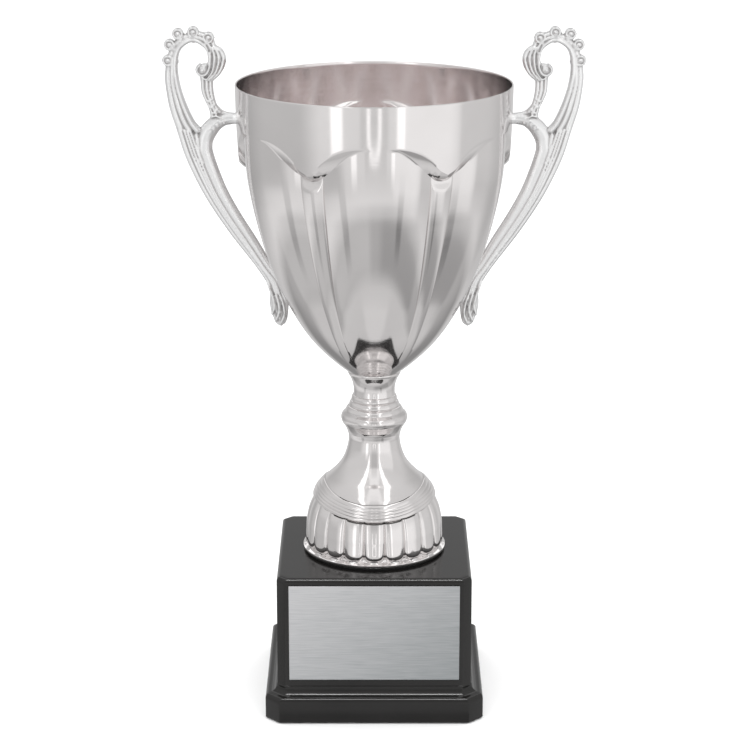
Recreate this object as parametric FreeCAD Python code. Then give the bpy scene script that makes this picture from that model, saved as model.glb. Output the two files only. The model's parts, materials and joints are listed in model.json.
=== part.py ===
import FreeCAD, Part
import math
import os

# Presentation cup: an embossed sheet-metal bowl with two cast scroll handles, a neck with a knop,
# a bell-shaped stem and a gadrooned foot, all clamped by one threaded rod to a moulded plinth.
# Millimetres, +Z up, the origin on the resting surface under the middle of the plinth.
# The front, with the name plate, faces -Y.

os.makedirs("parts", exist_ok=True)
V = FreeCAD.Vector
Z_AXIS = V(0, 0, 1)

# ---- Driving dimensions ----
rim_z = 323.7                  # bowl
rim_radius = 70.0
bowl_bottom_z = 174.0
bowl_wall = 1.0
petals = 6
rod_radius = 3.0               # M6 tie rod
rod_hole_radius = 3.3
casting_wall = 1.6             # neck, stem and foot
knop_bottom_z = 141.0
stem_bottom_z = 103.0
foot_bottom_z = 77.9
flange_radius = 37.3
gadroons = 20
handle_half_thickness = 4.0
upper_screw_z = 305.8
lower_screw_z = 217.0
screw_radius = 2.0             # M4
plinth_top_z = 77.0            # plinth
plinth_side = 100.0
plinth_corner = 4.0
base_side = 112.5
base_corner = 7.4
base_top_z = 11.3
plinth_wall = 2.5
deck_thickness = 3.0
rim_lift = 0.6                 # the shell's lower rim hangs just clear of the table
plate_width = 87.5             # name plate
plate_height = 51.4
plate_bottom_z = 22.3
plate_thickness = 0.8
tape_thickness = 0.3
pad_thickness = 1.2            # underside
cover_thickness = 3.0

# Height and radius along the bowl's petals, from the bottom to the rim.
petal_profile = [
    (bowl_bottom_z, 13.7), (178.2, 18.9), (184.7, 26.0), (191.1, 32.0), (197.5, 37.0),
    (203.9, 41.3), (210.3, 45.1), (219.8, 50.2), (232.5, 55.6), (245.0, 59.9), (257.6, 63.4),
    (270.0, 66.2), (282.0, 68.1), (294.8, 69.1), (313.0, 69.8), (rim_z, rim_radius)]
# Height and depth of the six valleys between the petals.
valley_profile = [
    (bowl_bottom_z, 0.0), (188.0, 0.0), (197.5, 0.6), (210.3, 1.6), (226.0, 2.6), (245.0, 3.4),
    (264.0, 3.7), (277.0, 3.6), (283.0, 1.6), (289.0, 0.0), (rim_z, 0.0)]
bowl_steps = 24                # sections that the bowl's surface is lofted through
bowl_levels = [bowl_bottom_z + i * (rim_z - bowl_bottom_z) / bowl_steps for i in range(bowl_steps + 1)]


def write(name, shape):
    shape.exportStep("parts/" + name + ".step")
    print(name, "solids", len(shape.Solids), "valid", shape.isValid(),
          "cm3 %.2f" % (shape.Volume / 1000))


def interpolate(points, x):
    """Smooth curve through (x, y) points, flat past its ends, with no overshoot at level runs."""
    if x <= points[0][0]:
        return points[0][1]
    if x >= points[-1][0]:
        return points[-1][1]
    slopes = [(b[1] - a[1]) / (b[0] - a[0]) for a, b in zip(points, points[1:])]
    tangents = [slopes[0]]
    for before, after in zip(slopes, slopes[1:]):
        level = before * after <= 0
        tangents.append(0.0 if level else 2 * before * after / (before + after))
    tangents.append(slopes[-1])
    i = max(k for k in range(len(points) - 1) if points[k][0] <= x)
    span = points[i + 1][0] - points[i][0]
    t = (x - points[i][0]) / span
    return ((2 * t ** 3 - 3 * t ** 2 + 1) * points[i][1]
            + (t ** 3 - 2 * t ** 2 + t) * span * tangents[i]
            + (3 * t ** 2 - 2 * t ** 3) * points[i + 1][1]
            + (t ** 3 - t ** 2) * span * tangents[i + 1])


def revolve(outline):
    """Closed (radius, z) polygon turned about Z."""
    wire = Part.makePolygon([V(r, 0, z) for r, z in outline + outline[:1]])
    return Part.Face(wire).revolve(V(0, 0, 0), Z_AXIS, 360)


def spline_xz(points):
    """Smooth edge in the XZ plane through (x, z) points."""
    curve = Part.BSplineCurve()
    curve.interpolate([V(x, 0, z) for x, z in points])
    return curve.toShape()


def line_xz(a, b):
    return Part.makeLine(V(a[0], 0, a[1]), V(b[0], 0, b[1]))


def hollow_turning(profile, wall):
    """Turned shell below a (radius, z) profile that runs from its top to its bottom.
    The top is closed but for the rod hole, and the bottom is open."""
    top_r, top_z = profile[0]
    bottom_r, bottom_z = profile[-1]
    outer = spline_xz(profile)
    inner = spline_xz([(r - wall, z) for r, z in profile[1:-1]])
    first = profile[1][0] - wall, profile[1][1]
    last = profile[-2][0] - wall, profile[-2][1]
    roof = top_z - wall
    edges = [outer,
             line_xz((bottom_r, bottom_z), (last[0], bottom_z)),
             line_xz((last[0], bottom_z), last),
             inner,
             line_xz(first, (first[0], roof)) if first[1] < roof else None,
             line_xz((first[0], roof), (rod_hole_radius, roof)),
             line_xz((rod_hole_radius, roof), (rod_hole_radius, top_z)),
             line_xz((rod_hole_radius, top_z), (top_r, top_z))]
    wire = Part.Wire(Part.__sortEdges__([edge for edge in edges if edge]))
    return Part.Face(wire).revolve(V(0, 0, 0), Z_AXIS, 360)


def mirror(shape):
    """The shape's twin on the other side of the YZ plane."""
    return shape.mirror(V(0, 0, 0), V(1, 0, 0))


def hexagon(across_flats, z, height):
    corner = across_flats / math.sqrt(3)
    points = [V(corner * math.cos(math.radians(a)), corner * math.sin(math.radians(a)), z)
              for a in range(0, 361, 60)]
    return Part.Face(Part.makePolygon(points)).extrude(V(0, 0, height))


def ring(outer, inner, z, height):
    disc = Part.makeCylinder(outer, height, V(0, 0, z))
    return disc.cut(Part.makeCylinder(inner, height, V(0, 0, z)))


# ---- Bowl ----
def bowl_radius(z, angle):
    valley = math.sin(petals / 2 * math.radians(angle)) ** 4
    return interpolate(petal_profile, z) - interpolate(valley_profile, z) * valley


def bowl_slope(z):
    """How fast the radius grows with height."""
    step = 0.5
    lower, upper = max(z - step, bowl_bottom_z), min(z + step, rim_z)
    return (interpolate(petal_profile, upper) - interpolate(petal_profile, lower)) / (upper - lower)


def bowl_section(z, inset):
    points = []
    for i in range(48):
        angle = i * 7.5
        r = bowl_radius(z, angle) - inset
        points.append(V(r * math.sin(math.radians(angle)), -r * math.cos(math.radians(angle)), z))
    curve = Part.BSplineCurve()
    curve.interpolate(points, PeriodicFlag=True)
    return Part.Wire(curve.toShape())


def bowl_solid(levels, wall):
    sections = [bowl_section(z, wall * math.hypot(1, bowl_slope(z))) for z in levels]
    return Part.makeLoft(sections, True, False)


bowl_outside = bowl_solid(bowl_levels, 0)
floor_z = bowl_bottom_z + bowl_wall
inside_levels = [floor_z] + bowl_levels[1:]
bowl_inside = bowl_solid(inside_levels, bowl_wall)
bowl = bowl_outside.cut(bowl_inside)
bowl = bowl.cut(Part.makeCylinder(rod_hole_radius, 10, V(0, 0, bowl_bottom_z - 5)))


# ---- Handle screws: two to each handle, from inside the bowl, square to its wall ----
head_radius, head_height, thread_length = 3.8, 2.4, 6.0
head_round, slot_depth, slot_width = 0.9, 1.2, 0.8
washer_radius, washer_thickness = 4.6, 0.8
upper_gap, lower_gap = 0.35, 0.75


def wall_point(z):
    """Point on the inside of the bowl's wall at +X, and the outward direction square to it."""
    side, step = 90, 0.5
    slope = (bowl_radius(z + step, side) - bowl_radius(z - step, side)) / (2 * step)
    normal = V(1, 0, -slope)
    normal.normalize()
    point = V(bowl_radius(z, side), 0, z) - normal * bowl_wall
    return point, normal


def screw_set(z, gap):
    """Screw, washer and their hole at height z, with the washer a gap off the curved wall."""
    point, out = wall_point(z)
    seat = point - out * gap
    under_head = seat - out * washer_thickness
    shank = Part.makeCylinder(screw_radius, thread_length + washer_thickness + gap, under_head, out)
    head = Part.makeCylinder(head_radius, head_height, under_head - out * head_height, out)
    head_top = under_head - out * head_height
    head = head.makeFillet(head_round, [e for e in head.Edges
                                        if (e.CenterOfMass - head_top).Length < 0.1])
    slot = Part.makeBox(slot_depth, slot_width, 2 * head_radius, V(0, -slot_width / 2, -head_radius))
    slot.Placement = FreeCAD.Placement(head_top, FreeCAD.Rotation(V(1, 0, 0), out)) * slot.Placement
    screw = shank.fuse(head).removeSplitter().cut(slot)
    washer = Part.makeCylinder(washer_radius, washer_thickness, under_head, out)
    washer = washer.cut(Part.makeCylinder(screw_radius + 0.2, washer_thickness, under_head, out))
    hole = Part.makeCylinder(screw_radius + 0.05, 14, point - out * 3, out)
    return screw, washer, hole


upper_screw, upper_washer, upper_hole = screw_set(upper_screw_z, upper_gap)
lower_screw, lower_washer, lower_hole = screw_set(lower_screw_z, lower_gap)
screw_holes = upper_hole.fuse(lower_hole)
bowl = bowl.cut(screw_holes).cut(mirror(screw_holes))
write("bowl", bowl)
screws = [upper_screw, lower_screw]
washers = [upper_washer, lower_washer]
write("handle_screws", Part.makeCompound(screws + [mirror(s) for s in screws]))
write("handle_washers", Part.makeCompound(washers + [mirror(w) for w in washers]))

# ---- Handle: a flat casting with a C-scroll on top and an S-shaped arm, at +X ----
arm_outside = [(90.0, 349.0), (97.5, 346.0), (102.0, 339.5), (104.0, 331.0), (104.3, 325.0),
               (102.9, 313.0), (99.6, 300.8), (94.9, 285.5), (86.1, 266.9), (74.2, 248.2),
               (60.2, 229.3), (53.9, 218.0), (53.6, 209.0), (51.8, 202.0), (47.8, 198.0)]
foot_inside = [(47.8, 198.0), (45.2, 201.0), (44.3, 205.5), (44.0, 211.0)]
arm_inside = [(47.0, 221.5), (53.0, 229.3), (60.5, 241.9), (68.5, 254.4), (75.4, 266.9),
              (80.3, 279.3), (82.3, 288.0), (81.1, 294.7), (76.4, 301.4), (70.5, 303.1)]
boss_top = [(70.5, 308.6), (75.2, 309.4), (79.2, 313.1), (80.6, 319.2), (80.8, 325.0)]
shell_lobe = [(80.8, 325.0), (76.6, 329.6), (74.1, 335.8), (76.2, 340.3), (79.2, 342.6)]
arch_top = [(79.2, 342.6), (80.6, 346.2), (84.5, 348.6), (90.0, 349.0)]
teardrop_outer = [(87.3, 299.8), (90.5, 303.9), (94.3, 313.1), (97.1, 322.2), (98.4, 332.0),
                  (97.2, 340.3), (91.5, 344.8), (85.6, 342.4), (82.9, 337.3), (83.6, 333.6)]
teardrop_inner = [(83.6, 333.6), (86.8, 333.2), (88.9, 330.2), (87.3, 326.4), (86.6, 319.2),
                  (83.4, 311.5), (82.4, 307.0), (87.3, 299.8)]
bud_places = [(103.4, 335.5), (101.0, 343.0), (97.3, 347.9), (90.0, 349.4), (82.8, 347.0)]
bud_radius = 2.95
boss_radius = 3.4

outer_wire = Part.Wire([
    spline_xz(arm_outside), spline_xz(foot_inside), line_xz(foot_inside[-1], arm_inside[0]),
    spline_xz(arm_inside), line_xz(arm_inside[-1], (66.0, 303.1)),
    line_xz((66.0, 303.1), (66.0, 308.6)), line_xz((66.0, 308.6), boss_top[0]),
    spline_xz(boss_top), spline_xz(shell_lobe), spline_xz(arch_top)])
hole_wire = Part.Wire([spline_xz(teardrop_outer), spline_xz(teardrop_inner)])
casting = Part.Face([outer_wire, hole_wire]).extrude(V(0, 2 * handle_half_thickness, 0))
casting.translate(V(0, -handle_half_thickness, 0))
for x, z in bud_places:
    casting = casting.fuse(Part.makeSphere(bud_radius, V(x, 0, z)))
casting = casting.fuse(Part.makeCylinder(boss_radius, 12, V(66, 0, upper_screw_z), V(1, 0, 0)))
casting = casting.cut(bowl_outside)
casting = max(casting.Solids, key=lambda solid: solid.Volume)
handle = casting.cut(upper_hole).cut(lower_hole)
write("handle_right", handle)
write("handle_left", mirror(handle))

# ---- Neck with its knop ----
neck_profile = [(13.7, bowl_bottom_z), (13.0, 171.8), (11.4, 168.5), (10.7, 165.3), (10.7, 162.0),
                (12.0, 158.6), (13.2, 155.5), (15.7, 152.3), (17.3, 149.0), (16.4, 145.6),
                (14.4, 142.6), (13.9, knop_bottom_z)]
write("neck_knop", hollow_turning(neck_profile, casting_wall))

# ---- Bell-shaped stem ----
stem_profile = [(13.7, knop_bottom_z), (13.3, 138.0), (13.7, 134.5), (14.9, 130.0), (16.6, 126.0),
                (19.4, 122.0), (22.2, 119.0), (24.9, 116.5), (27.6, 113.6), (30.0, 110.5),
                (31.2, 107.5), (32.0, stem_bottom_z)]
write("bell_stem", hollow_turning(stem_profile, casting_wall))

# ---- Foot: gadroons above a flange ----
crown_z, tip_z = stem_bottom_z, 80.6
foot_outline = [(rod_hole_radius, crown_z), (32.0, crown_z), (33.6, 96.0), (34.2, 88.0),
                (34.2, tip_z), (flange_radius - 0.8, tip_z), (flange_radius, tip_z - 0.8),
                (flange_radius, foot_bottom_z), (31.5, foot_bottom_z), (31.5, 90.0),
                (29.6, crown_z - casting_wall), (rod_hole_radius, crown_z - casting_wall)]
foot = revolve(foot_outline)


def gadroon_band():
    """Ring of outward half-round lobes, trimmed to a barrel that leans in at the top."""
    lobe_edge, lobe_peak = 34.0, 36.0
    edges = []
    for i in range(gadroons):
        start, middle, end = [
            V(r * math.cos(a), r * math.sin(a), 0)
            for r, a in ((lobe_edge, 2 * math.pi * i / gadroons),
                         (lobe_peak, 2 * math.pi * (i + 0.5) / gadroons),
                         (lobe_edge, 2 * math.pi * (i + 1) / gadroons))]
        edges.append(Part.Arc(start, middle, end).toShape())
    lobes = Part.Face(Part.Wire(edges)).extrude(V(0, 0, crown_z - tip_z))
    lobes.translate(V(0, 0, tip_z))
    barrel = revolve([(31.6, crown_z), (32.4, crown_z), (33.4, 101.0), (34.6, 98.0),
                      (35.7, 91.0), (36.0, 85.0), (35.2, 81.6), (34.0, tip_z), (31.7, tip_z),
                      (31.7, 90.0), (30.4, crown_z)])
    return lobes.common(barrel)


foot = foot.fuse(gadroon_band()).removeSplitter()
write("gadroon_foot", foot)
write("foot_gasket", ring(36.0, 31.0, plinth_top_z, foot_bottom_z - plinth_top_z))

# ---- Rod and its fixings ----
rod_bottom_z, rod_top_z = 60.0, 184.0
rod = Part.makeCylinder(rod_radius, rod_top_z - rod_bottom_z, V(0, 0, rod_bottom_z))
write("tie_rod", rod.makeChamfer(0.6, [e for e in rod.Edges if isinstance(e.Curve, Part.Circle)]))
bowl_washer_thickness = 1.5
nut_seat_z = floor_z + bowl_washer_thickness
write("bowl_washer", ring(11.0, rod_hole_radius, floor_z, bowl_washer_thickness))
nut_flats, nut_height = 10.0, 5.0
dome = Part.makeSphere(4.6, V(0, 0, nut_seat_z + nut_height - 0.6))
dome = dome.cut(Part.makeBox(20, 20, 20, V(-10, -10, nut_seat_z + nut_height - 20.5)))
cap_nut = hexagon(nut_flats, nut_seat_z, nut_height).fuse(dome)
cap_nut = cap_nut.cut(Part.makeCylinder(rod_radius + 0.02, rod_top_z + 0.3 - nut_seat_z,
                                        V(0, 0, nut_seat_z)))
write("bowl_cap_nut", cap_nut)
deck_z = plinth_top_z - deck_thickness
clamp_plate_thickness, spring_thickness = 2.0, 1.6
plate_z = deck_z - clamp_plate_thickness
clamp_plate = Part.makeBox(50, 50, clamp_plate_thickness, V(-25, -25, plate_z))
clamp_plate = clamp_plate.cut(Part.makeCylinder(rod_hole_radius, 5, V(0, 0, plate_z - 1)))
write("clamp_plate", clamp_plate)
spring_washer = ring(5.9, rod_hole_radius, plate_z - spring_thickness, spring_thickness)
spring_washer = spring_washer.cut(Part.makeBox(4, 0.8, 3, V(2.8, -0.4, plate_z - spring_thickness - 1)))
write("spring_washer", spring_washer)
nut_z = plate_z - spring_thickness - nut_height
clamp_nut = hexagon(nut_flats, nut_z, nut_height)
write("clamp_nut", clamp_nut.cut(Part.makeCylinder(rod_radius + 0.02, nut_height, V(0, 0, nut_z))))


# ---- Plinth: a hollow moulding, open below ----
def octagon(side, corner, z):
    """Square of the given side with its corners cut off, as a wire at height z."""
    a, b = side / 2, side / 2 - corner
    points = [(b, -a), (a, -b), (a, b), (b, a), (-b, a), (-a, b), (-a, -b), (-b, -a)]
    return Part.makePolygon([V(x, y, z) for x, y in points + points[:1]])


def prism(side, corner, z, height):
    return Part.Face(octagon(side, corner, z)).extrude(V(0, 0, height))


def taper(levels):
    """Stack of octagons joined by flat faces: (side, corner, z) from the bottom up."""
    return Part.makeLoft([octagon(*level) for level in levels], True, True)


ledge_levels = [(base_side, base_corner, rim_lift), (base_side, base_corner, base_top_z),
                (base_side - 1.6, base_corner, base_top_z + 1.6),
                (base_side - 4.6, 6.8, base_top_z + 2.7),
                (base_side - 8.4, 6.0, 15.0), (plinth_side + 1.0, 4.6, 16.6),
                (plinth_side, plinth_corner, 18.4)]
edge_round = 2.4
block_levels = [(plinth_side, plinth_corner, 18.4),
                (plinth_side, plinth_corner, plinth_top_z - edge_round),
                (plinth_side - 0.7, plinth_corner, plinth_top_z - edge_round / 2),
                (plinth_side - 2.1, plinth_corner, plinth_top_z - edge_round / 6),
                (plinth_side - 2 * edge_round, plinth_corner, plinth_top_z)]
shell = taper(ledge_levels).fuse(taper(block_levels))
shell = shell.cut(prism(plinth_side - 2 * plinth_wall, plinth_corner, 0, deck_z))
base_room = base_side - 2 * plinth_wall
shell = shell.cut(prism(base_room, base_corner - 1.5, 0, base_top_z - 0.8))
cover_z = pad_thickness
boss_bottom_z = cover_z + cover_thickness
screw_reach = 47.5
cover_boss_radius, cover_screw_radius = 4.0, 1.5
corners = [(x * screw_reach, y * screw_reach) for x in (-1, 1) for y in (-1, 1)]
for x, y in corners:
    boss = Part.makeCylinder(cover_boss_radius, base_top_z + 1 - boss_bottom_z, V(x, y, boss_bottom_z))
    shell = shell.fuse(boss)
for x, y in corners:
    shell = shell.cut(Part.makeCylinder(cover_screw_radius + 0.02, 6.8, V(x, y, boss_bottom_z - 0.1)))
shell = shell.cut(Part.makeCylinder(rod_hole_radius, 10, V(0, 0, deck_z - 2)))
write("plinth_shell", shell.removeSplitter())

# ---- Ballast, cover, screws and felt under the plinth ----
ballast_side = plinth_side - 2 * plinth_wall - 0.6
ballast = prism(ballast_side, 10.0, boss_bottom_z, 42.0)
for x, y in corners:
    room = Part.makeCylinder(cover_boss_radius + 0.4, 12, V(x, y, boss_bottom_z))
    ballast = ballast.cut(room)
write("ballast_block", ballast)
cover = prism(base_room - 0.6, base_corner - 1.5, cover_z, cover_thickness)
cover_screws = []
for x, y in corners:
    head = Part.makeCone(3.2, cover_screw_radius, 1.7, V(x, y, cover_z))
    shank = Part.makeCylinder(cover_screw_radius, 9.0, V(x, y, cover_z))
    cover_screws.append(head.fuse(shank))
    sink = Part.makeCone(3.25, cover_screw_radius + 0.05, 1.75, V(x, y, cover_z))
    cover = cover.cut(sink).cut(Part.makeCylinder(cover_screw_radius + 0.05, 9.0, V(x, y, cover_z)))
write("base_cover", cover)
write("cover_screws", Part.makeCompound(cover_screws))
write("felt_pad", prism(base_room - 4.0, base_corner - 1.5, 0, pad_thickness))

# ---- Name plate on its tape ----
front_y = -plinth_side / 2
tape = Part.makeBox(plate_width - 8, tape_thickness, plate_height - 8,
                    V(4 - plate_width / 2, front_y - tape_thickness, plate_bottom_z + 4))
write("plate_tape", tape)
plate = Part.makeBox(plate_width, plate_thickness, plate_height,
                     V(-plate_width / 2, front_y - tape_thickness - plate_thickness, plate_bottom_z))
write("name_plate", plate)
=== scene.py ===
import math

import bpy
import numpy as np
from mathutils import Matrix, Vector
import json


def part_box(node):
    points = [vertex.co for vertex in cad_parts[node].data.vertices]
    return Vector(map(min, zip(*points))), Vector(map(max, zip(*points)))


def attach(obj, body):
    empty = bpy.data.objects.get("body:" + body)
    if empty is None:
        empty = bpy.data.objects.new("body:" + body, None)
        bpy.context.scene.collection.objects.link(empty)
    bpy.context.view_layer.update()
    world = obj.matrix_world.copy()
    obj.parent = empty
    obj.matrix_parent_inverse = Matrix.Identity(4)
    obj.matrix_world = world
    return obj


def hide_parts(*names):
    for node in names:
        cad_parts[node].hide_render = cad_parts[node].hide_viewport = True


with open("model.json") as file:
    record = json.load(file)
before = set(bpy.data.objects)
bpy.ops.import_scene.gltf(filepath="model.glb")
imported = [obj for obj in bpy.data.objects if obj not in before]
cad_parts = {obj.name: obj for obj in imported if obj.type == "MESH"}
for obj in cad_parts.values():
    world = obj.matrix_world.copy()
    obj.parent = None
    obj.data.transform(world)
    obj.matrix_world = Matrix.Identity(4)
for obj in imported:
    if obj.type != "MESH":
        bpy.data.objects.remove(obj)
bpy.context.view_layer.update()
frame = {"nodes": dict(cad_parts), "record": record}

# The looks of a silver presentation cup on a black plinth. Sizes below are in millimetres, in the
# CAD frame: +Z up, the front towards -Y, handle_right towards +X. Meshes are made in metres.
MM = 0.001
rod_hole = 3.3                  # radius of the holes that the tie rod passes

# Sizes that the CAD model settles, read from its nodes.
bowl_low, bowl_high = (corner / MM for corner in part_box("bowl"))
foot_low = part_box("gadroon_foot")[0] / MM
plinth_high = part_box("plinth_shell")[1] / MM
knop_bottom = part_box("neck_knop")[0].z / MM
stem_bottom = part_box("bell_stem")[0].z / MM
rim_z = bowl_high.z
bowl_bottom = bowl_low.z


# ---- Shared helpers ----
def unit(v):
    return v / np.linalg.norm(v)


def smooth_curve(points, x):
    """Smooth, monotone curve through (x, y) points, flat past its ends, at the values x."""
    px, py = np.array(sorted(points), float).T
    slopes = np.diff(py) / np.diff(px)
    tangents = np.concatenate([slopes[:1], np.zeros(len(px) - 2), slopes[-1:]])
    before, after = slopes[:-1], slopes[1:]
    rising = before * after > 0
    tangents[1:-1][rising] = (2 * before * after / np.where(rising, before + after, 1))[rising]
    x = np.clip(x, px[0], px[-1])
    i = np.clip(np.searchsorted(px, x, side="right") - 1, 0, len(px) - 2)
    span = px[i + 1] - px[i]
    t = (x - px[i]) / span
    return ((2 * t ** 3 - 3 * t ** 2 + 1) * py[i] + (t ** 3 - 2 * t ** 2 + t) * span * tangents[i]
            + (3 * t ** 2 - 2 * t ** 3) * py[i + 1] + (t ** 3 - t ** 2) * span * tangents[i + 1])


def smooth_step(t):
    t = np.clip(t, 0, 1)
    return t * t * (3 - 2 * t)


def new_piece(name, vertices, faces, sharp_angle=None):
    """Mesh object from millimetre vertices, smooth-shaded but for edges sharper than an angle."""
    mesh = bpy.data.meshes.new(name)
    mesh.from_pydata((np.asarray(vertices, float) * MM).tolist(), [], faces)
    mesh.validate()
    mesh.shade_smooth()
    if sharp_angle:
        mesh.set_sharp_from_angle(angle=math.radians(sharp_angle))
    piece = bpy.data.objects.new(name, mesh)
    bpy.context.scene.collection.objects.link(piece)
    return piece


def ring_faces(rows, columns, closed):
    """Quads of a grid whose rows run round in rings; closed joins the last row to the first."""
    r = np.arange(rows if closed else rows - 1)[:, None]
    c = np.arange(columns)[None, :]
    below, above, beside = r * columns, (r + 1) % rows * columns, (c + 1) % columns
    quads = np.stack([below + c, below + beside, above + beside, above + c], -1)
    return quads.reshape(-1, 4).tolist()


def end_face(rows, columns):
    """The face that closes a grid of rings at its last row."""
    return [(rows - 1) * columns + i for i in range(columns)]


def turned_piece(name, radius, height, angle, sharp_angle=40):
    """Closed piece round the Z axis. The arrays hold rows of rings, and the last row meets the
    first. The angle is in degrees from the front, growing towards +X."""
    radius, height, angle = np.broadcast_arrays(radius, height, np.radians(angle))
    points = np.stack([radius * np.sin(angle), -radius * np.cos(angle), height], -1)
    rows, columns = radius.shape
    return new_piece(name, points.reshape(-1, 3), ring_faces(rows, columns, True), sharp_angle)


def finish_piece(piece, nodes, slot, *materials):
    """Puts a piece on the body, in place of its CAD nodes, with its materials. The slot is not
    used.
    """
    for material in materials:
        piece.data.materials.append(material)
    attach(piece, "root")
    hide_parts(*nodes)


def beads(corners, bulge, steps=8):
    """(radius, z) outline with a rounded bead between each pair of corners."""
    outline = []
    for (r0, z0), (r1, z1) in zip(corners, corners[1:]):
        length = math.hypot(r1 - r0, z1 - z0)
        out_r, out_z = abs(z1 - z0) / length, (r1 - r0) / length
        for t in np.arange(steps) / steps:
            lift = bulge * math.sqrt(1 - (2 * t - 1) ** 2)
            outline.append((r0 + (r1 - r0) * t + lift * out_r, z0 + (z1 - z0) * t + lift * out_z))
    return outline + [corners[-1]]


# ---- Materials ----
range_sockets = ("From Min", "From Max", "To Min", "To Max")


class Nodes:
    """A node tree with short ways to add what the materials here need."""

    def __init__(self, name):
        self.material = bpy.data.materials.new(name)
        self.material.use_nodes = True
        self.tree = self.material.node_tree
        self.shader = self.tree.nodes["Principled BSDF"]
        self.place = self.tree.nodes.new("ShaderNodeTexCoord").outputs["Object"]

    def link(self, start, end):
        self.tree.links.new(start, end)

    def stretched(self, scale):
        mapping = self.tree.nodes.new("ShaderNodeMapping")
        mapping.inputs["Scale"].default_value = scale
        self.link(self.place, mapping.inputs["Vector"])
        return mapping.outputs["Vector"]

    def noise(self, scale, detail=3.0, stretch=None):
        noise = self.tree.nodes.new("ShaderNodeTexNoise")
        noise.inputs["Scale"].default_value = scale
        noise.inputs["Detail"].default_value = detail
        self.link(self.stretched(stretch) if stretch else self.place, noise.inputs["Vector"])
        return noise.outputs["Fac"]

    def ranged(self, value, start, end, to_low, to_high):
        node = self.tree.nodes.new("ShaderNodeMapRange")
        for socket, number in zip(range_sockets, (start, end, to_low, to_high)):
            node.inputs[socket].default_value = number
        self.link(value, node.inputs["Value"])
        return node.outputs["Result"]

    def ramp(self, value, *stops):
        """Colour ramp with (position, (r, g, b)) stops."""
        node = self.tree.nodes.new("ShaderNodeValToRGB")
        elements = node.color_ramp.elements
        while len(elements) < len(stops):
            elements.new(0.5)
        for element, (position, colour) in zip(elements, stops):
            element.position = position
            element.color = (*colour, 1)
        self.link(value, node.inputs["Fac"])
        return node.outputs["Color"]

    def bump(self, value, strength, distance):
        node = self.tree.nodes.new("ShaderNodeBump")
        node.inputs["Strength"].default_value = strength
        node.inputs["Distance"].default_value = distance
        self.link(value, node.inputs["Height"])
        self.link(node.outputs["Normal"], self.shader.inputs["Normal"])

    def set(self, **values):
        for name, value in values.items():
            self.shader.inputs[name.replace("_", " ")].default_value = value


def plated(name, colour, dull, roughness):
    """Polished plating: faint cloudy haze and fine lines from the polishing wheel."""
    m = Nodes(name)
    m.set(Metallic=1.0)
    cloud = m.noise(28.0, 4.0)
    m.link(m.ramp(cloud, (0.35, dull), (0.65, colour)), m.shader.inputs["Base Color"])
    lines = m.noise(60.0, 5.0, (1.0, 1.0, 26.0))
    m.link(m.ranged(lines, 0.3, 0.7, *roughness), m.shader.inputs["Roughness"])
    m.bump(lines, 0.02, 0.0002)
    return m.material


def cast_silver():
    """Cast metal, tumbled bright: satin, with painted shade darkening the hollows and a lighter
    colour on the ridges.
    """
    m = Nodes("cast_silver")
    m.set(Metallic=1.0)
    relief = m.tree.nodes.new("ShaderNodeAttribute")
    relief.attribute_name = "relief"
    # Painted shade: the relief darkens the colour in the hollows and lightens it on the ridges.
    m.link(m.ramp(relief.outputs["Fac"], (0.22, (0.46, 0.45, 0.45)), (0.44, (0.84, 0.835, 0.835)),
                  (0.70, (0.95, 0.95, 0.95))), m.shader.inputs["Base Color"])
    grain = m.noise(900.0, 3.0)
    m.link(m.ranged(grain, 0.3, 0.7, 0.26, 0.36), m.shader.inputs["Roughness"])
    m.bump(grain, 0.03, 0.0001)
    return m.material


def black_plastic():
    """Glossy moulding with a faint orange-peel waviness and handling haze."""
    m = Nodes("black_plastic")
    m.set(IOR=1.5, Specular_IOR_Level=0.42)
    cloud = m.noise(35.0, 4.0)
    m.link(m.ramp(cloud, (0.3, (0.0062, 0.0057, 0.0054)), (0.7, (0.0086, 0.0079, 0.0075))),
           m.shader.inputs["Base Color"])
    m.link(m.ranged(cloud, 0.3, 0.7, 0.13, 0.19), m.shader.inputs["Roughness"])
    m.bump(m.noise(160.0, 1.0), 0.01, 0.0002)
    return m.material


def brushed_plate():
    """Aluminium sheet with a fine level grain, and painted shading from light at the top left to
    dark at the bottom right.
    """
    m = Nodes("brushed_plate")
    m.set(Metallic=1.0, Anisotropic=0.5)
    low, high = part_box("name_plate")
    # Painted shading: the colour runs from light at the top left of the plate to dark at its bottom
    # right.
    split = m.tree.nodes.new("ShaderNodeSeparateXYZ")
    m.link(m.place, split.inputs["Vector"])
    across = m.ranged(split.outputs["X"], low.x, high.x, 0.0, 0.62)
    down = m.ranged(split.outputs["Z"], high.z, low.z, 0.0, 0.38)
    painted_shading_slope = m.tree.nodes.new("ShaderNodeMath")
    painted_shading_slope.operation = "ADD"
    m.link(across, painted_shading_slope.inputs[0])
    m.link(down, painted_shading_slope.inputs[1])
    grain = m.noise(90.0, 6.0, (1.0, 1.0, 34.0))
    grain_and_shading = m.tree.nodes.new("ShaderNodeMath")
    grain_and_shading.operation = "MULTIPLY_ADD"
    m.link(m.ranged(grain, 0.25, 0.75, -1.0, 1.0), grain_and_shading.inputs[0])
    grain_and_shading.inputs[1].default_value = 0.22
    m.link(painted_shading_slope.outputs["Value"], grain_and_shading.inputs[2])
    m.link(m.ramp(grain_and_shading.outputs["Value"], (0.0, (0.72, 0.72, 0.73)), (0.5, (0.56, 0.57, 0.58)),
                  (1.0, (0.40, 0.42, 0.43))), m.shader.inputs["Base Color"])
    m.link(m.ranged(grain, 0.25, 0.75, 0.34, 0.46), m.shader.inputs["Roughness"])
    m.bump(grain, 0.10, 0.0001)
    return m.material


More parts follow.
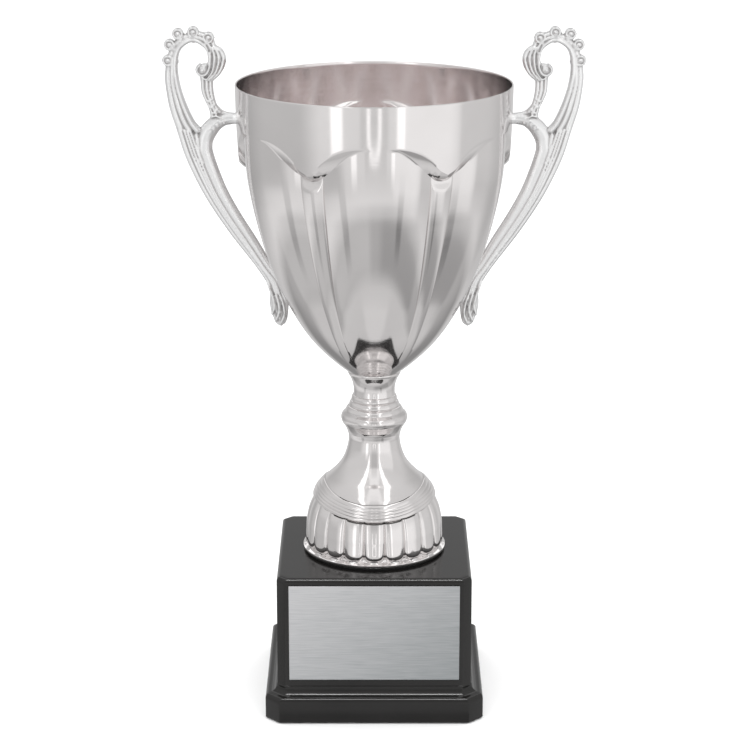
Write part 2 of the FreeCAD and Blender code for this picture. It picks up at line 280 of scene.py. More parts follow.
def grained(name, light, dark, scale, roughness, strength=0.2, metallic=0.0, stretch=None):
    """A plain material with its own grain in colour, roughness and relief."""
    m = Nodes(name)
    m.set(Metallic=metallic)
    grain = m.noise(scale, 5.0, stretch)
    m.link(m.ramp(grain, (0.35, dark), (0.65, light)), m.shader.inputs["Base Color"])
    m.link(m.ranged(grain, 0.3, 0.7, *roughness), m.shader.inputs["Roughness"])
    m.bump(grain, strength, 0.0004)
    return m.material


def felt():
    m = Nodes("felt")
    m.set(Sheen_Weight=0.6, Sheen_Roughness=0.5)
    fibres = m.noise(1800.0, 6.0)
    m.link(m.ramp(fibres, (0.3, (0.008, 0.008, 0.009)), (0.7, (0.035, 0.035, 0.037))),
           m.shader.inputs["Base Color"])
    m.link(m.ranged(fibres, 0.3, 0.7, 0.85, 1.0), m.shader.inputs["Roughness"])
    m.bump(fibres, 0.6, 0.0005)
    return m.material


silver = plated("silver_plate", (0.81, 0.785, 0.78), (0.77, 0.745, 0.74), (0.07, 0.12))
# Painted light: the inside of the bowl gets a lighter copy of the plating.
silver_inside_lightened = plated("silver_inside_lightened", (0.91, 0.865, 0.86), (0.83, 0.785, 0.78), (0.11, 0.20))
# Painted shade: a dark copy of the plating for the shaded line under the stem's rings and over the
# gadroons.
silver_painted_shade = plated("silver_painted_shade", (0.13, 0.125, 0.12), (0.08, 0.078, 0.075), (0.35, 0.5))
finishes = {
    "silver_plate": silver,
    "cast_silver": cast_silver(),
    "steel_fixings": grained("steel_fixings", (0.62, 0.62, 0.61), (0.50, 0.50, 0.50), 700.0,
                             (0.26, 0.40), 0.05, 1.0),
    "black_rubber": grained("black_rubber", (0.022, 0.022, 0.022), (0.012, 0.012, 0.012), 900.0,
                            (0.55, 0.75), 0.15),
    "black_plastic": black_plastic(),
    "cast_stone": grained("cast_stone", (0.66, 0.64, 0.60), (0.50, 0.48, 0.44), 260.0,
                          (0.80, 0.95), 0.6),
    "cover_board": grained("cover_board", (0.32, 0.23, 0.15), (0.22, 0.15, 0.10), 420.0,
                           (0.60, 0.80), 0.3),
    "felt": felt(),
    "tape_foam": grained("tape_foam", (0.86, 0.86, 0.83), (0.78, 0.78, 0.75), 900.0,
                         (0.70, 0.85), 0.3),
    "brushed_plate": brushed_plate(),
}
for part in frame["record"]["subparts"]:
    for material_slot in frame["nodes"][part["node"]].material_slots:
        material_slot.material = finishes[part["material_slot"]]

# ---- Bowl: six petals under an arched shelf, with a rib in the groove between each pair ----
petal_profile = [(174.0, 13.7), (178.2, 18.9), (184.7, 26.0), (191.1, 32.0), (197.5, 37.0),
                 (203.9, 41.3), (210.3, 45.1), (219.8, 50.2), (232.5, 55.6), (245.0, 59.9),
                 (257.6, 63.4), (270.0, 66.2), (282.0, 68.1), (294.8, 69.1), (313.0, 69.8),
                 (323.7, 70.0)]
emboss_fade = [(174, 0), (184, 0), (197.5, 0.18), (210, 0.45), (226, 0.72), (245, 0.93), (262, 1)]
arch_drop = [(0, 0), (8, 0), (12.4, 0.5), (17, 2.4), (21.8, 6.3), (26.8, 12), (30, 14)]
arch_top_z = 302.8
emboss_turn = 1.4               # degrees that the petals are turned from the front
side_arch_extra = 0.36          # the two arches at the handles reach this much lower
petals = 6
petal_pitch = 60.0              # degrees
half_petal = 30.0
rib_half_width = [(190, 4.4), (288, 5.7)]
groove_depth, rib_rise, rib_end = 5.0, 1.7, 5.0
flat_share = 0.16               # share of a petal's half width that isn't sunk
shelf_height = [(0, 0.1), (7, 0.3), (11, 2.4), (16, 5.6), (21, 7.2), (25.5, 6.0), (30, 4.2)]
bowl_wall = 0.9


def half_petal_columns(petal_steps, rib_steps):
    """Places across half a petal: (share of the petal, share of the rib's half width)."""
    petal = [(t / petal_steps, 1.0) for t in range(petal_steps)]
    rib = [(1.0, math.cos(math.pi / 2 * t / rib_steps)) for t in range(rib_steps)]
    return petal + rib


def embossed_surface(columns, low_rows, shelf_rows, top_rows):
    """Radius, height and angle of the embossed sheet, as rows from its bottom to its rim."""
    forward = columns + [(1.0, 0.0)]
    backward = columns[:0:-1]
    share, rib = np.tile(np.array(forward + backward).T, petals)
    side = np.tile([1] * len(forward) + [-1] * len(backward), petals)
    petal_start = np.repeat(np.arange(petals) * petal_pitch, len(forward) + len(backward))
    petal_centre = petal_start + np.where(side > 0, 0.0, petal_pitch)

    def off_peak(z):
        width = smooth_curve(rib_half_width, z)
        return np.where(share < 1, share * (half_petal - width), half_petal - width * rib)

    sunk = np.clip((share - flat_share) / (1 - flat_share), 0, 1) ** 1.9
    rib_height = rib_rise * np.sqrt(np.clip(1 - rib ** 2, 0, 1))
    phi = off_peak(arch_top_z)
    angle = petal_centre + side * phi
    off_side = np.abs((angle % 180) - 90)
    lower = 1 + side_arch_extra * smooth_step(1 - off_side / half_petal)
    arch = arch_top_z - smooth_curve(arch_drop, phi) * lower
    shelf_low = arch - smooth_curve(shelf_height, phi)
    low = np.linspace(0, 1, low_rows)[:, None] ** 0.9
    shelf = np.linspace(0, 1, shelf_rows + 1)[1:, None]
    top = np.linspace(0, 1, top_rows + 1)[1:, None]
    z = np.concatenate([bowl_bottom + (shelf_low - bowl_bottom) * low,
                        shelf_low + (arch - shelf_low) * shelf, arch + (rim_z - arch) * top])
    shelf_share = 1 - shelf - 0.45 * shelf * (1 - shelf)
    fade = np.concatenate([smooth_curve(emboss_fade, z[:low_rows]),
                           shelf_share * smooth_curve(emboss_fade, shelf_low), 0 * top + 0 * arch])
    rib_top = smooth_step((shelf_low - z) / rib_end)
    radius = smooth_curve(petal_profile, z) - (groove_depth * sunk - rib_height * rib_top) * fade
    angle = petal_centre + side * off_peak(z) + emboss_turn
    return radius, z, angle


def thinner(radius, z, wall):
    """The sheet's inner face: the outer one moved in square to its profile."""
    reach = 0.4
    rise = smooth_curve(petal_profile, z + reach) - smooth_curve(petal_profile, z - reach)
    return radius - wall * np.hypot(1, rise / (2 * reach))


def make_bowl():
    columns = half_petal_columns(15, 13)
    radius, z, angle = embossed_surface(columns, 92, 9, 22)
    inner_radius, inner_z, inner_angle = embossed_surface(columns, 56, 6, 12)
    floor_z = bowl_bottom + bowl_wall
    inner_radius = np.maximum(thinner(inner_radius, inner_z, bowl_wall), rod_hole)
    inner_z = np.maximum(inner_z, floor_z)
    edge = np.linspace(0, math.pi, 7)[1:-1, None]
    top_out, top_in = radius[-1], inner_radius[-1]
    round_radius = (top_out + top_in) / 2 + (top_out - top_in) / 2 * np.cos(edge)
    half_wall = bowl_wall / 2
    round_z = rim_z - half_wall + half_wall * np.sin(edge) + 0 * round_radius
    z[-1] = inner_z[-1] = rim_z - half_wall
    hole = np.full((1, radius.shape[1]), rod_hole)
    rows_out = len(radius) + 1 + len(edge) // 2
    bowl = turned_piece(
        "bowl_embossed",
        np.concatenate([hole, radius, round_radius, inner_radius[::-1], hole]),
        np.concatenate([0 * hole + bowl_bottom, z, round_z, inner_z[::-1], 0 * hole + floor_z]),
        np.concatenate([angle[:1], angle, np.repeat(angle[-1:], len(edge), 0), inner_angle[::-1],
                        inner_angle[:1]]), 32)
    finish_piece(bowl, ["bowl"], "silver_plate", silver, silver_inside_lightened)
    # The faces inside the bowl take the lighter copy of the plating, painted light.
    inside = np.arange(len(bowl.data.polygons)) // radius.shape[1] > rows_out
    bowl.data.polygons.foreach_set("material_index", inside.astype(np.int32))


make_bowl()


# ---- Neck with its knop ----
full_circle = np.linspace(0, 360, 192, endpoint=False)[None, :]


def make_neck():
    lip = [(13.7, bowl_bottom), (13.75, 173.2), (13.2, 172.2)]
    waist_curve = [(172.2, 13.2), (169.6, 11.9), (166.6, 11.0), (163.8, 10.7), (161.2, 10.8)]
    waist = [(float(smooth_curve(waist_curve, z)), z) for z in np.linspace(171.8, 161.2, 20)]
    rings = beads([(10.8, 161.2), (11.6, 158.2), (12.9, 155.3), (14.9, 152.4)], 0.62)
    belly_curve = [(151.9, 15.6), (150.9, 16.8), (149.2, 17.3), (147.2, 16.9), (144.9, 15.5),
                   (142.6, 14.3), (knop_bottom, 13.8)]
    belly = [(float(smooth_curve(belly_curve, z)), z) for z in np.linspace(151.9, knop_bottom, 26)]
    outline = [(rod_hole, bowl_bottom), *lip, *waist, *rings, *belly, (rod_hole, knop_bottom)]
    radius, z = np.array(outline)[::-1].T
    neck = turned_piece("neck_ringed", radius[:, None], z[:, None], full_circle, 35)
    finish_piece(neck, ["neck_knop"], "silver_plate", silver)


make_neck()

# ---- Bell-shaped stem, with fine rings on its shoulder that droop at the front and back ----
stem_profile = [(141.0, 13.7), (138.0, 13.3), (134.5, 13.7), (130.0, 14.9), (126.0, 16.6),
                (122.0, 19.4), (119.0, 22.2), (116.5, 24.9), (113.6, 27.6), (110.5, 30.0),
                (107.5, 31.2), (103.0, 32.0)]
ring_lines = [110.0, 107.9, 106.4, 104.8, 103.2, 101.4]
swag_rise = [(101.4, 5.2), (110.0, 6.0), (120.0, 4.4), (139.0, 0.0)]
ring_stand, ring_bulge = 0.55, 0.38
shoulder_columns = np.linspace(0, 360, 360, endpoint=False)[None, :]


def swagged(front_z, angle):
    """Height at an angle of the line that lies at front_z in front."""
    return front_z + smooth_curve(swag_rise, front_z) * np.sin(np.radians(angle)) ** 2


def paint_shade_rows(piece, columns, reaches):
    """Painted shade: the dark material on the faces below some rows, at the front and back, out to
    a share of the width. The rows are counted from the top, whose row is 0."""
    around = np.abs(np.sin(np.radians(columns))).ravel()
    index = np.zeros((len(piece.data.polygons) // len(around), len(around)), np.int32)
    last_face_row = len(index) - 2
    for row, reach in reaches.items():
        index[last_face_row - row] = around < reach
    piece.data.polygons.foreach_set("material_index", index.ravel())


def make_stem():
    bell = np.linspace(knop_bottom, ring_lines[0], 70)
    front, lift = list(bell), [0.0] * len(bell)
    ring_steps = 9
    for top, bottom in zip(ring_lines, ring_lines[1:]):
        for t in np.linspace(0.02, 0.98, ring_steps):
            front.append(top + (bottom - top) * t)
            lift.append(ring_stand + ring_bulge * math.sqrt(1 - (2 * t - 1) ** 2))
    front, lift = np.array(front)[:, None], np.array(lift)[:, None]
    z = swagged(front, shoulder_columns)
    radius = smooth_curve(stem_profile, z) + lift
    tuck = np.linspace(0, 1, 4)[:, None]        # the last ring's edge, folded in over the foot
    tuck_z = z[-1:] - 0.5 * tuck
    tuck_radius = radius[-1:] - 0.2 - 1.6 * tuck
    hole = np.full_like(z[:1], rod_hole)
    stem = turned_piece("stem_bell", np.concatenate([hole, radius, tuck_radius, hole])[::-1],
                        np.concatenate([0 * hole + knop_bottom, z, tuck_z,
                                        0 * hole + stem_bottom])[::-1], shoulder_columns, 35)
    finish_piece(stem, ["bell_stem"], "silver_plate", silver, silver_painted_shade)
    last_bell_row = len(bell)
    # Painted shade: a dark band on one row of the shoulder rings, at the front and back.
    paint_shade_rows(stem, shoulder_columns, {last_bell_row: 0.62})


make_stem()

# ---- Foot: gadroons with rounded tips on a sloping flange ----
gadroons = 20
columns_per_gadroon = 22
flange_z, flange_radius = 79.4, 37.3
gadroon_base = [(78.5, 37.3), (79.4, 37.3), (79.7, 36.8), (80.0, 35.8), (80.4, 34.7),
                (81.2, 34.1), (84.5, 34.0), (91.0, 34.1), (96.0, 33.6), (100.0, 32.8),
                (103.0, 31.8), (107.0, 30.2)]
gadroon_rise = [(79, 2.3), (84, 2.1), (90, 1.7), (98, 1.4), (102, 1.2), (107, 0.9)]
tip_centre_z, tip_height = 85.2, 5.2
tip_squareness = 2.6            # 2 would make the tips round
crown_radius, underside_radius = 29.5, 31.5


def make_foot():
    count = gadroons * columns_per_gadroon
    columns = np.arange(count) * 360 / count
    across = np.abs(((columns * gadroons / 360 + 0.5) % 1) * 2 - 1)[None, :]
    columns = columns[None, :]
    top = swagged(ring_lines[-1], columns) - 0.15
    bottom = foot_low.z
    body = np.linspace(1, 0, 64)[:, None]
    z = flange_z + (top - flange_z) * body
    past_tip = np.clip((tip_centre_z - z) / tip_height, 0, None)
    off_centre = (across ** tip_squareness + past_tip ** tip_squareness) ** (1 / tip_squareness)
    dome = np.sqrt(np.clip(1 - off_centre ** 3, 0, 1))
    radius = smooth_curve(gadroon_base, z) + smooth_curve(gadroon_rise, z) * dome
    edge_z = bottom + np.array([1.1, 0.7, 0.3, 0.0])[:, None]
    edge_radius = flange_radius - np.array([0, 0, 0.2, 0.6])[:, None] + 0 * columns
    hole = np.full_like(z[:1], rod_hole)
    crown = np.maximum(z[:1], top)
    foot = turned_piece(
        "foot_gadroons",
        np.concatenate([hole, 0 * hole + crown_radius, radius, edge_radius,
                        0 * hole + underside_radius, hole])[::-1],
        np.concatenate([crown, crown, z, edge_z + 0 * columns, 0 * hole + bottom,
                        0 * hole + bottom])[::-1], columns, 50)
    finish_piece(foot, ["gadroon_foot"], "silver_plate", silver, silver_painted_shade)
    first_body_row = 2
    # Painted shade: dark bands on the top rows of the gadroons, at the front and back.
    paint_shade_rows(foot, columns, {first_body_row: 0.64, first_body_row + 1: 0.42})


make_foot()

# ---- Plinth: a moulded block on a coved base, both square with cut corners ----
block_half, block_cut = 50.0, 4.0
base_half, base_cut, base_top = 56.25, 7.4, 11.3
shoulder_in, shoulder_up = 1.9, 2.5     # rounding above the base's upright face
cove_in, cove_up = 3.95, 4.1            # hollow from there to the foot of the block
edge_round = 2.4
corner_round = 0.7


def cut_square(half, cut, z):
    """Square ring with cut corners, its eight edges slightly rounded."""
    corners = [(half - cut, -half), (half, cut - half), (half, half - cut), (half - cut, half),
               (cut - half, half), (-half, half - cut), (-half, cut - half), (cut - half, -half)]
    points = []
    for i, corner in enumerate(corners):
        here, before, after = (np.array(corners[(i + k) % 8]) for k in (0, -1, 1))
        inward = unit(before + after - 2 * here)
        for other, reach, inset in ((before, 0.82, 0.0), (before, 0.328, 0.06), (after, 0.0, 0.18),
                                    (after, 0.328, 0.06), (after, 0.82, 0.0)):
            point = here + corner_round * (reach * unit(other - here) + inset * inward)
            points.append((*point, z))
    return points


def make_plinth():
    rim = 0.6
    cove_half, cove_z = base_half - shoulder_in, base_top + shoulder_up
    levels = [(base_half - 0.5, base_cut, rim), (base_half - 0.15, base_cut, rim + 0.15),
              (base_half, base_cut, rim + 0.5), (base_half, base_cut, base_top - 0.6)]
    for t in np.linspace(0, 1, 8):
        turn = t * math.pi / 2
        levels.append((base_half - shoulder_in * (1 - math.cos(turn)), base_cut,
                       base_top + shoulder_up * math.sin(turn)))
    for t in np.linspace(0.08, 1, 12):
        turn = t * math.pi / 2
        levels.append((cove_half - cove_in * math.sin(turn), base_cut - 3.0 * t,
                       cove_z + cove_up * (1 - math.cos(turn))))
    levels += [(block_half + 0.40, 4.3, 18.2), (block_half + 0.34, 4.2, 18.45),
               (block_half + 0.05, 4.0, 18.65), (block_half, block_cut, 18.9),
               (block_half, block_cut, plinth_high.z - edge_round - 0.4)]
    for t in np.linspace(0, 1, 12):
        turn = t * math.pi / 2
        half = block_half - edge_round * (1 - math.cos(turn))
        levels.append((half, block_cut, plinth_high.z - edge_round * (1 - math.sin(turn))))
    top_inner = block_half - edge_round - 1.5
    levels.append((top_inner, block_cut, plinth_high.z))
    outline = [cut_square(*level) for level in levels]
    inner_wall = base_half - 2.5
    below = [cut_square(inner_wall, base_cut - 1.5, z) for z in (10.5, 4.0, rim)]
    rings = below + outline
    columns = len(rings[0])
    faces = ring_faces(len(rings), columns, False)
    faces += [end_face(1, columns)[::-1], end_face(len(rings), columns)]
    plinth = new_piece("plinth_moulding", np.concatenate(rings), faces, 30)
    finish_piece(plinth, ["plinth_shell"], "black_plastic", finishes["black_plastic"])


make_plinth()


# ---- Name plate: thin sheet with a tiny bevel round its front ----
def make_plate():
    low, high = (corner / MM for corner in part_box("name_plate"))
    bevel, corner = 0.22, 0.35
    centre = (low + high) / 2
    half_x, half_z = high.x - centre.x, high.z - centre.z

    def outline(inset, y):
        points = []
        reach = corner - inset
        for sx, sz, start in ((1, -1, -90), (1, 1, 0), (-1, 1, 90), (-1, -1, 180)):
            for a in np.radians(np.linspace(start, start + 90, 5)):
                points.append((centre.x + sx * (half_x - corner) + reach * math.cos(a), y,
                               centre.z + sz * (half_z - corner) + reach * math.sin(a)))
        return points

    rings = [outline(0, high.y), outline(0, low.y + bevel),
             outline(0.4 * bevel, low.y + 0.3 * bevel), outline(bevel, low.y)]
    columns = len(rings[0])
    faces = [face[::-1] for face in ring_faces(len(rings), columns, False)]
    faces += [end_face(1, columns), end_face(len(rings), columns)[::-1]]
    plate = new_piece("name_plate_sheet", np.concatenate(rings), faces, 25)
    finish_piece(plate, ["name_plate"], "brushed_plate", finishes["brushed_plate"])


make_plate()

# ---- Handles: cast scrolls. (x, z) outlines of handle_right, about 8 mm thick at most ----
arm_outside = [(47.8, 198.0), (50.4, 199.3), (52.0, 202.6), (53.6, 209.0), (53.9, 218.0),
               (60.2, 229.3), (74.2, 248.2), (86.1, 266.9), (94.9, 285.5), (99.6, 300.8),
               (102.9, 313.0), (104.3, 325.0), (104.0, 331.0), (102.0, 339.5), (97.5, 346.0),
               (90.0, 349.0)]
arch_start = 9                  # the point of arm_outside where the arm turns into the arch
arm_inside = [(47.8, 198.0), (45.6, 199.4), (44.6, 202.6), (44.3, 206.5), (44.2, 212.0),
              (47.2, 221.5), (53.0, 229.3), (60.5, 241.9), (68.5, 254.4), (75.4, 266.9),
              (80.3, 279.3), (84.0, 291.0)]
boss_under = [(84.0, 284.0), (82.3, 288.0), (81.1, 294.7), (76.4, 301.4), (70.5, 303.1)]
boss_over = [(70.5, 308.6), (75.2, 309.4), (79.2, 313.1), (80.6, 319.2), (80.8, 325.0)]
boss_end = [(70.5, 308.6), (69.2, 308.6), (69.2, 303.1), (70.5, 303.1)]
shell_lobe = [(80.8, 325.0), (77.2, 328.4), (74.8, 332.6), (74.2, 336.8), (75.8, 340.4),
              (79.2, 342.6)]
arch_end = [(79.2, 342.6), (80.6, 346.2), (84.5, 348.6), (90.0, 349.0)]
loop_outer = [(87.3, 299.8), (90.7, 303.9), (95.0, 313.1), (98.0, 322.2), (99.4, 332.0),
              (98.0, 340.5), (91.8, 345.0), (85.6, 342.4), (82.9, 337.3), (83.6, 333.6)]
loop_inner = [(83.6, 333.6), (86.8, 333.2), (88.9, 330.2), (87.3, 326.4), (86.6, 319.2),
              (83.4, 311.5), (82.4, 307.0), (87.3, 299.8)]
buds = [(103.2, 335.2), (102.2, 343.1), (98.0, 348.5), (90.4, 349.4), (82.8, 346.6)]


def through(points, count):
    """Evenly spaced points of a smooth line through (x, z) points."""
    points = np.array(points, float)
    padded = np.concatenate([2 * points[:1] - points[1:2], points, 2 * points[-1:] - points[-2:-1]])
    fine = []
    for a, b, c, d in zip(padded, padded[1:], padded[2:], padded[3:]):
        t = np.linspace(0, 1, 12, endpoint=False)[:, None]
        fine.append(0.5 * (2 * b + (c - a) * t + (2 * a - 5 * b + 4 * c - d) * t ** 2
                           + (3 * b - a - 3 * c + d) * t ** 3))
    fine = np.concatenate(fine + [points[-1:]])
    along = np.concatenate([[0], np.cumsum(np.linalg.norm(np.diff(fine, axis=0), axis=1))])
    even = np.linspace(0, along[-1], count)
    return np.stack([np.interp(even, along, fine[:, k]) for k in (0, 1)], -1)


def rod(line, width, depth, y=0.0, sides=14):
    """Round-ended bar along an (x, z) line, with half widths in its plane and half depths in Y."""
    line = np.asarray(line, float)
    width, depth = (np.broadcast_to(np.asarray(v, float), len(line)) for v in (width, depth))
    ends = np.sin(np.linspace(0.25, math.pi / 2, 5))[:-1]
    first, last = (unit(line[0] - line[1]), unit(line[-1] - line[-2]))
    reach = np.sqrt(1 - ends ** 2)
    line = np.concatenate([line[:1] + first * (reach * width[0])[:, None], line,
                           line[-1:] + last * (reach * width[-1])[::-1, None]])
    width = np.concatenate([ends * width[0], width, ends[::-1] * width[-1]])
    depth = np.concatenate([ends * depth[0], depth, ends[::-1] * depth[-1]])
    tangent = np.gradient(line, axis=0)
    tangent /= np.linalg.norm(tangent, axis=1)[:, None]
    turn = np.linspace(0, 2 * math.pi, sides, endpoint=False)[None, :]
    x = line[:, :1] - tangent[:, 1:] * width[:, None] * np.cos(turn)
    z = line[:, 1:] + tangent[:, :1] * width[:, None] * np.cos(turn)
    depth_y = y + depth[:, None] * np.sin(turn)
    faces = ring_faces(len(line), sides, False)
    faces += [end_face(1, sides)[::-1], end_face(len(line), sides)]
    return np.stack([x, depth_y, z], -1).reshape(-1, 3), faces


def ball(x, z, radius, depth, y=0.0):
    turn = np.linspace(-1.45, 1.45, 13)
    return rod(np.stack([x + radius * np.sin(turn), z + 0 * turn], -1), radius * np.cos(turn),
               depth * np.cos(turn), y, 20)


def band(outside, inside, start, end, depth, swell=1.08):
    """Bar that fills a share of the width between two lines."""
    middle = (start + end) / 2
    width = np.linalg.norm(outside - inside, axis=1) * (end - start) / 2 * swell
    return rod(outside + (inside - outside) * middle, np.maximum(width, 0.25), depth)


def evaluated_mesh(made):
    """The mesh of an object after its modifiers. The object itself is removed."""
    evaluated = made.evaluated_get(bpy.context.evaluated_depsgraph_get())
    mesh = bpy.data.meshes.new_from_object(evaluated)
    bpy.data.objects.remove(made)
    return mesh


def handle_core():
    """Flat body of the casting, from its outline, with rounded edges."""
    body, edge = 1.7, 1.0
    outline = bpy.data.curves.new("core", "CURVE")
    outline.dimensions = "2D"
    outline.fill_mode = "BOTH"
    outline.extrude = (body - edge) * MM
    outline.bevel_depth = edge * MM
    outline.bevel_resolution = 2
    outline.offset = -edge * MM
    outer = np.concatenate([through(part, count)[:-1] for part, count in (
        (arm_outside, 120), (arch_end[::-1], 20), (shell_lobe[::-1], 24), (boss_over[::-1], 20),
        *(((a, b), 3) for a, b in zip(boss_end, boss_end[1:])), (boss_under[::-1][:-1], 24),
        (arm_inside[::-1][1:], 90))])
    hole = np.concatenate([through(loop_outer, 60)[:-1], through(loop_inner, 40)[:-1]])
    for points in (outer, hole):
        spline = outline.splines.new("POLY")
        spline.points.add(len(points) - 1)
        spline.use_cyclic_u = True
        for point, (x, z) in zip(spline.points, points):
            point.co = (x * MM, z * MM, 0, 1)
    made = bpy.data.objects.new("core", outline)
    bpy.context.scene.collection.objects.link(made)
    mesh = evaluated_mesh(made)
    vertices = np.array([v.co for v in mesh.vertices]) / MM
    faces = [list(p.vertices) for p in mesh.polygons]
    return vertices[:, [0, 2, 1]], faces


def arm_parts():
    """Four flutes up the arm, the leaf inside them, and three more over the arch to the scroll."""
    up_arm = 90
    outside = through(arm_outside[:arch_start + 1], up_arm)
    inside = through([*arm_inside[:-1], (83.6, 288.5), (87.0, 298.6)], up_arm)
    along = np.linspace(0, 1, up_arm)
    depth = smooth_curve([(0, 1.9), (0.10, 2.4), (0.20, 3.1), (0.75, 3.2), (1, 3.1)], along)
    parts = [band(outside, inside, start, end, depth + rise) for start, end, rise in (
        (0.0, 0.26, 0.0), (0.24, 0.38, 0.35), (0.37, 0.51, 0.45), (0.50, 0.64, 0.35))]
    leaf_edge = [(80.9, 281.0), (82.6, 288.0), (81.4, 294.7), (77.0, 300.7), (73.8, 302.9)]
    leaf_back = [(89.2, 292.0), (88.4, 299.4), (84.6, 304.6), (79.2, 308.2)]
    last_flute = 0.62               # share of the arm's width where the leaf meets the flutes
    inner_rows, outer_rows = 74, 81
    inner_line = np.concatenate([inside[:inner_rows], through(leaf_edge, 34)])
    flute_line = outside + (inside - outside) * last_flute
    outer_line = np.concatenate([flute_line[:outer_rows], through(leaf_back, 27)])
    inner_line, outer_line = (through(line[::3], 100) for line in (inner_line, outer_line))
    parts.append(rod(through([(86.2, 283.0), (88.4, 290.0), (89.6, 297.6)], 16),
                     np.linspace(1.0, 1.5, 16), 3.1))
    parts.append(band(outer_line, inner_line, 0.0, 1.0, smooth_curve(
        [(0, 1.9), (0.08, 2.4), (0.16, 3.0), (0.8, 3.2), (1, 3.5)], np.linspace(0, 1, 100)), 1.0))
    over = 90
    arch_out = through([*arm_outside[arch_start:], *arch_end[::-1][1:], (79.9, 338.5),
                        (80.6, 333.0)], over)
    arch_in = through(loop_outer, over)
    along = np.linspace(0, 1, over)
    thick = smooth_curve([(0, 3.4), (0.4, 3.2), (0.8, 3.1), (1, 2.9)], along)
    parts += [band(arch_out, arch_in, start, end, thick + rise) for start, end, rise in (
        (0.0, 0.36, -0.5), (0.34, 0.68, 0.0), (0.70, 1.0, 0.5))]
    return parts


def scroll_parts():
    """The curl with its ball, the ridged shell behind it, and the five buds on the arch."""
    curl = through([(82.6, 339.0), (82.1, 335.0), (82.5, 331.6), (84.0, 328.6), (86.4, 327.8),
                    (88.4, 329.2), (88.7, 331.2), (87.4, 332.8)], 50)
    parts = [rod(curl, np.linspace(0.95, 0.8, 50), np.linspace(3.7, 3.4, 50)),
             ball(86.0, 330.2, 2.7, 3.2), ball(86.1, 330.4, 1.7, 3.9)]
    inner_side = [(84.4, 326.2), (82.0, 329.6), (81.0, 334.4), (81.0, 338.8), (81.6, 342.0)]
    lobe, root = through(shell_lobe, 40), through(inner_side, 40)
    for start, end, depth in ((0.0, 0.34, 2.9), (0.32, 0.68, 3.4), (0.66, 1.0, 3.7)):
        parts.append(band(lobe, root, start, end, depth))
    arch_centre = np.array([89.5, 333.0])
    for bud in np.array(buds):
        out = unit(bud - arch_centre)
        across = np.array([-out[1], out[0]])
        stalk = [bud - 3.6 * out, bud - 1.8 * out, bud - 0.4 * out]
        parts.append(rod(stalk, [1.9, 2.5, 2.95], 2.9))
        parts.append(ball(*bud, 2.95, 2.9))
        rim = [bud + 2.3 * (math.sin(a) * across + math.cos(a) * out)
               for a in np.linspace(-2.5, 2.5, 25)]
        parts.append(rod(rim, 0.6, 3.3))
        parts.append(ball(*(bud + 0.1 * out), 1.25, 3.6))
    return parts


def neck_parts():
    """Stalk under the curl with its scales, the boss on the bowl, and the leaf below."""
    left = through([(81.0, 325.4), (80.6, 319.2), (79.2, 313.1), (76.6, 309.8)], 30)
    right = through([(87.0, 326.2), (86.6, 319.2), (83.4, 311.5), (82.4, 307.4)], 30)
    parts = [band(left, right, start, end, depth) for start, end, depth in (
        (0.0, 0.36, 2.9), (0.30, 0.68, 3.3), (0.64, 1.0, 3.0))]
    parts.append(rod(through([(81.0, 326.6), (83.8, 325.8), (86.8, 327.0)], 12), 0.6, 3.3))
    for place, reach in ((0.56, 0.9), (0.74, 1.0), (0.92, 1.05)):
        a, b = (line[int(place * 29)] for line in (left, right))
        middle = (a + b) / 2 + np.array([0.5, -1.3]) * reach
        parts.append(rod(through([a + 0.14 * (b - a), middle, b - 0.14 * (b - a)], 10), 0.7, 3.3))
    boss = np.array([(69.2, 305.8), (71.2, 305.8), (73.6, 305.7), (76.0, 305.2)])
    parts.append(rod(boss, [3.0, 2.75, 2.9, 3.3], [3.2, 2.9, 3.0, 3.4]))
    parts.append(rod(through([(75.2, 303.4), (76.6, 305.9), (79.2, 307.3), (82.0, 306.9)], 16),
                     0.6, 3.8))
    for x, z in ((76.6, 303.6), (78.4, 302.0), (80.0, 300.0)):
        vein = [(x, z), (x + 1.5, z + 1.3), (x + 2.8, z + 1.2)]
        width = 0.15 + 0.35 * np.sin(np.linspace(0, math.pi, 10))
        parts.append(rod(through(vein, 10), width, 3.95))
    return parts


def foot_parts():
    """Curved ridges that fan out over the hoof at the arm's lower end."""
    steps = np.arange(24)
    width = smooth_curve([(0, 0.5), (12, 1.0), (24, 0.7)], steps)
    depth = smooth_curve([(0, 3.2), (8, 3.9), (24, 3.3)], steps)
    return [rod(through(line, len(steps)), width, depth) for line in (
        [(55.0, 221.5), (52.2, 214.0), (51.4, 208.5), (52.4, 204.4)],
        [(52.0, 219.0), (49.6, 212.5), (48.9, 206.0), (50.6, 201.0)],
        [(48.8, 216.0), (46.9, 210.5), (46.2, 204.5), (48.0, 199.6)])]


def mark_relief(mesh):
    """Stores how far each point lies below (under 0.5) or above a smoothed copy of the surface."""
    count = len(mesh.vertices)
    place, normal = np.empty(count * 3), np.empty(count * 3)
    mesh.vertices.foreach_get("co", place)
    mesh.vertices.foreach_get("normal", normal)
    place, normal = place.reshape(-1, 3), normal.reshape(-1, 3)
    edges = np.empty(len(mesh.edges) * 2, np.int32)
    mesh.edges.foreach_get("vertices", edges)
    start, end = edges.reshape(-1, 2).T
    links = np.maximum(np.bincount(start, minlength=count) + np.bincount(end, minlength=count), 1)

    def averaged(values):
        return (np.bincount(start, values[end], count)
                + np.bincount(end, values[start], count)) / links

    smoothed = place.copy()
    for _ in range(9):
        smoothed = np.stack([averaged(smoothed[:, k]) for k in range(3)], -1)
    height = ((place - smoothed) * normal).sum(1) / MM
    for _ in range(3):
        height = averaged(height)
    relief_span = 0.34              # difference in height that takes the value from 0 to 1
    relief = mesh.attributes.new("relief", "FLOAT", "POINT")
    relief.data.foreach_set("value", np.clip(0.5 + height / relief_span, 0, 1).astype(np.float32))


